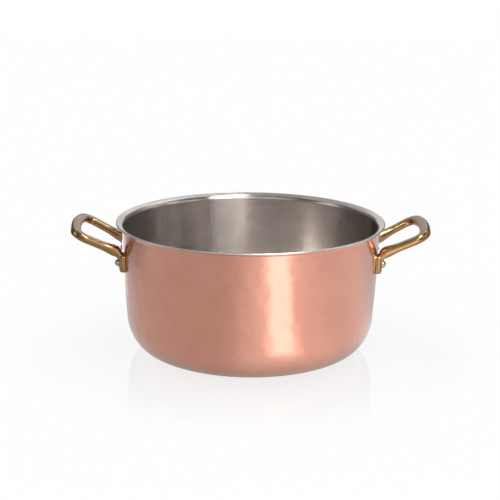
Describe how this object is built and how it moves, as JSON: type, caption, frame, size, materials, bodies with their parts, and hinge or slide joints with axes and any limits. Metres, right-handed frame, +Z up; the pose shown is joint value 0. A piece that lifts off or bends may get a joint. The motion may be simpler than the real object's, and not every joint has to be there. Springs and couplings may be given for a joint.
{
  "type": "casserole pan",
  "caption": "Round deep copper-clad pan with a steel lining, a flared pouring lip, and brass loop handles riveted on opposite sides.",
  "frame": {"origin": "middle of the flat underside, on the surface that the pan stands on", "axes": "+Z up along the pan's axis, +X from the pan's axis towards the right handle, +Y to the rear so that the handles lie left and right"},
  "size_m": [0.3744, 0.28, 0.1367],
  "materials": {
    "copper": "satin polished, very softly hammered",
    "aluminium": "plain rolled, seen only as a line in the sheet's edge",
    "stainless_lining": "brushed round the pan",
    "cast_brass": "cast and polished by hand, duller on top",
    "rivet_steel": "bright drawn steel"
  },
  "bodies": {
    "root": {"copper_skin": "copper", "aluminium_core": "aluminium", "steel_lining": "stainless_lining", "left_handle": "cast_brass", "right_handle": "cast_brass", "rivet_left_front": "rivet_steel", "rivet_left_rear": "rivet_steel", "rivet_right_front": "rivet_steel", "rivet_right_rear": "rivet_steel"}
  },
  "joints": []
}
